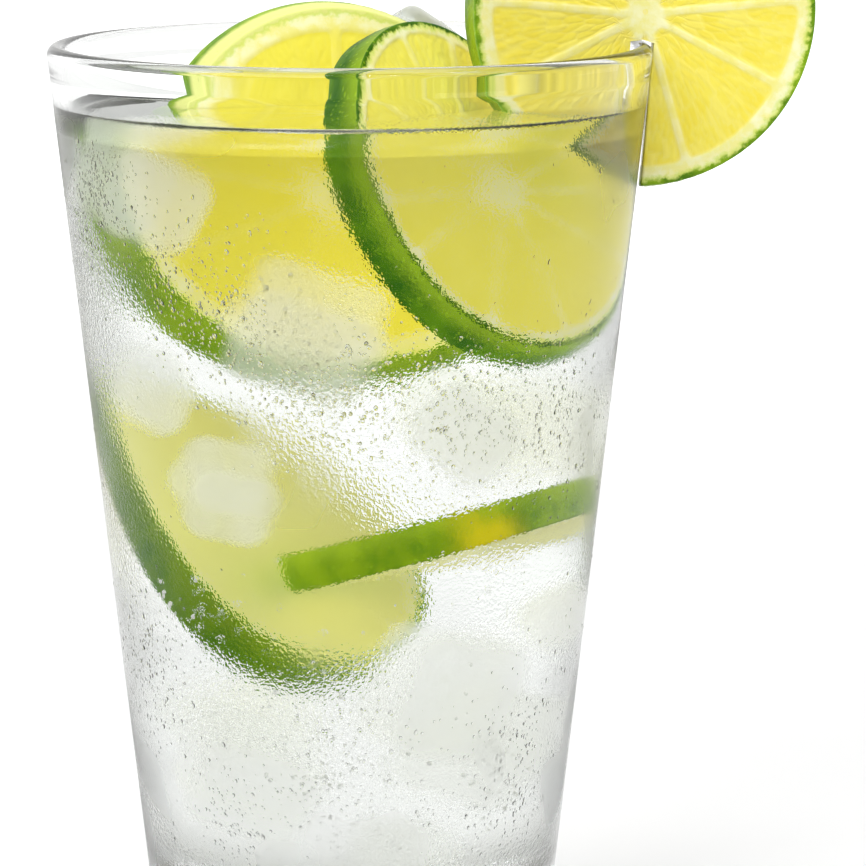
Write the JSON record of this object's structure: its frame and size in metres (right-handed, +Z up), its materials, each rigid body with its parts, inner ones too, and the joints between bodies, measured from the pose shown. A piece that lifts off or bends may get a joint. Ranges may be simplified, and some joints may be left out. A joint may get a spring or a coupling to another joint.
{
  "type": "glass of lemonade",
  "caption": "Tall tapered glass filled with iced lemonade, with lime slices in the drink and a lime wheel on the rim.",
  "frame": {"origin": "centre of the glass's flat foot", "axes": "+Z up along the glass's axis, -Y towards the front, +X towards the lime wheel on the rim"},
  "size_m": [0.1094, 0.086, 0.1696],
  "materials": {
    "glass": "clear pressed glass, fire-polished lip, misted outside",
    "drink": "clear, faintly yellow sparkling lemonade",
    "lime": "cut lime: wet yellow pulp, cream pith, green oily peel",
    "ice": "clear ice with frosted core and melted edges"
  },
  "bodies": {
    "root": {"glass": "glass", "drink": "drink", "lime_wheel_rim": "lime", "lime_slice_front": "lime", "lime_slice_back": "lime", "ice_cube_top": "ice"}
  },
  "joints": []
}
